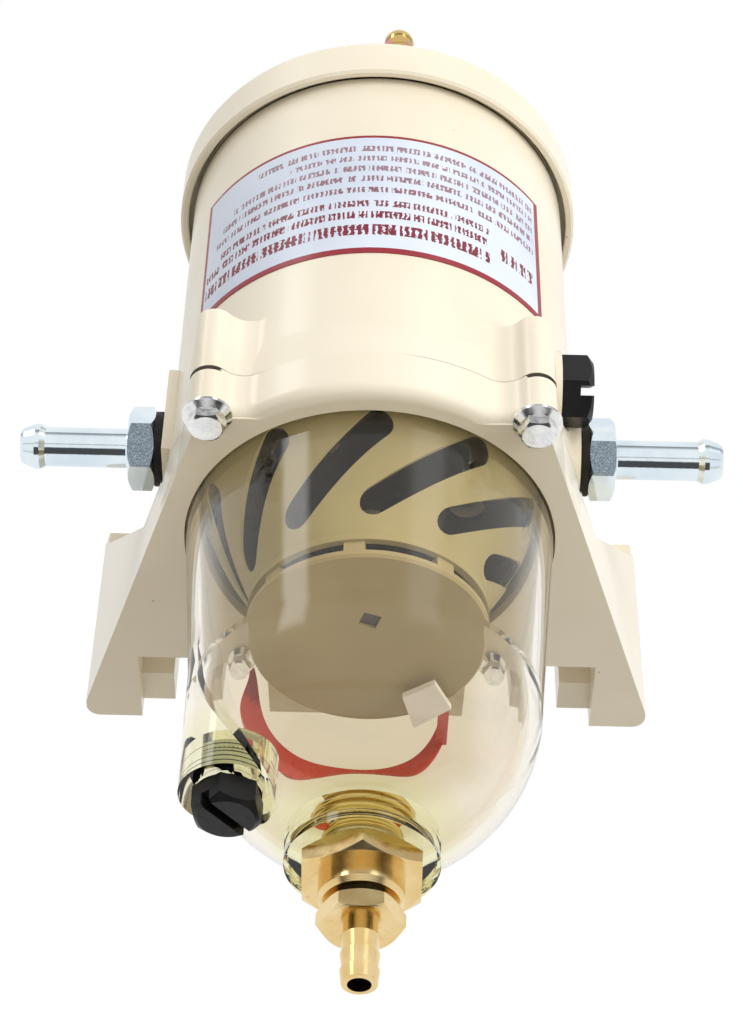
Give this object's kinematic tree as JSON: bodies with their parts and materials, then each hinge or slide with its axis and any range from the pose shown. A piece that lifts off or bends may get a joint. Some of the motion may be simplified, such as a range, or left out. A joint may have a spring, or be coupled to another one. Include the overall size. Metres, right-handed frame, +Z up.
{
  "type": "fuel water separator",
  "caption": "Wall-mounted fuel filter and water separator with a cast body and lid, clear bowl, turbine, hose fittings and a brass drain valve.",
  "frame": {"origin": "centre of the four mounting holes, on the wall plane at the back of the bracket", "axes": "+Z up along the filter's own axis, +Y into the wall, +X to the viewer's right when the filter is seen from the front"},
  "size_m": [0.177, 0.1217, 0.3014],
  "materials": {
    "casting_paint": "satin cream paint",
    "lid_paint": "satin cream paint",
    "bracket_paint": "satin cream paint",
    "bolt_zinc": "bright zinc",
    "bowl_clear": "clear moulded plastic",
    "seal_rubber": "matte black rubber",
    "turbine_plastic": "olive tan moulded plastic",
    "ball_steel": "polished steel",
    "tube_aluminium": "drawn tube",
    "filter_paper": "folded filter paper",
    "cap_metal": "coated sheet metal",
    "bail_wire": "drawn wire",
    "handle_zinc": "yellow zinc",
    "fitting_zinc": "bright zinc",
    "washer_dark": "dark sealing washer",
    "plug_black": "black moulded plastic",
    "drain_brass": "turned brass",
    "label_face": "printed film in silver-blue and crimson",
    "band_red": "red plastic strip",
    "clip_white": "white plastic"
  },
  "bodies": {
    "base": {"body_casting": "casting_paint", "ring_bracket": "bracket_paint", "flange_bolts": "bolt_zinc", "clear_bowl": "bowl_clear", "bowl_gasket": "seal_rubber", "turbine_bell": "turbine_plastic", "turbine_disc": "turbine_plastic", "return_tube": "tube_aluminium", "element_media": "filter_paper", "element_top_cap": "cap_metal", "element_bottom_cap": "cap_metal", "element_grommets": "seal_rubber", "inlet_fitting": "fitting_zinc", "outlet_fitting": "fitting_zinc", "port_washers": "washer_dark", "port_plug": "plug_black", "port_plug_seal": "seal_rubber", "sensor_plug": "plug_black", "sensor_plug_seal": "seal_rubber", "drain_bushing": "drain_brass", "label_plate": "label_face", "red_band": "band_red", "band_clip": "clip_white"},
    "lid": {"lid": "lid_paint", "lid_gasket": "seal_rubber"},
    "handle": {"t_handle": "handle_zinc", "t_handle_seal": "seal_rubber"},
    "bail": {"bail_handle": "bail_wire"},
    "ball": {"check_ball": "ball_steel"},
    "drain": {"drain_valve": "drain_brass", "drain_seal": "seal_rubber"}
  },
  "joints": [
    {"name": "lid_lift", "type": "slide", "parent": "base", "child": "lid", "axis": [0, 0, 1], "range_m": [0, 0.12]},
    {"name": "handle_turn", "type": "hinge", "parent": "lid", "child": "handle", "pos_m": [0, -0.0672, 0.12], "axis": [0, 0, 1], "range_deg": [0, 1440]},
    {"name": "bail_swing", "type": "hinge", "parent": "base", "child": "bail", "pos_m": [0, -0.0672, 0.0852], "axis": [-1, 0, 0], "range_deg": [0, 35]},
    {"name": "ball_rise", "type": "slide", "parent": "base", "child": "ball", "axis": [0, 0, 1], "range_m": [0, 0.005]},
    {"name": "drain_turn", "type": "hinge", "parent": "base", "child": "drain", "pos_m": [0, -0.0672, -0.15], "axis": [0, 0, 1], "range_deg": [0, 540]}
  ]
}
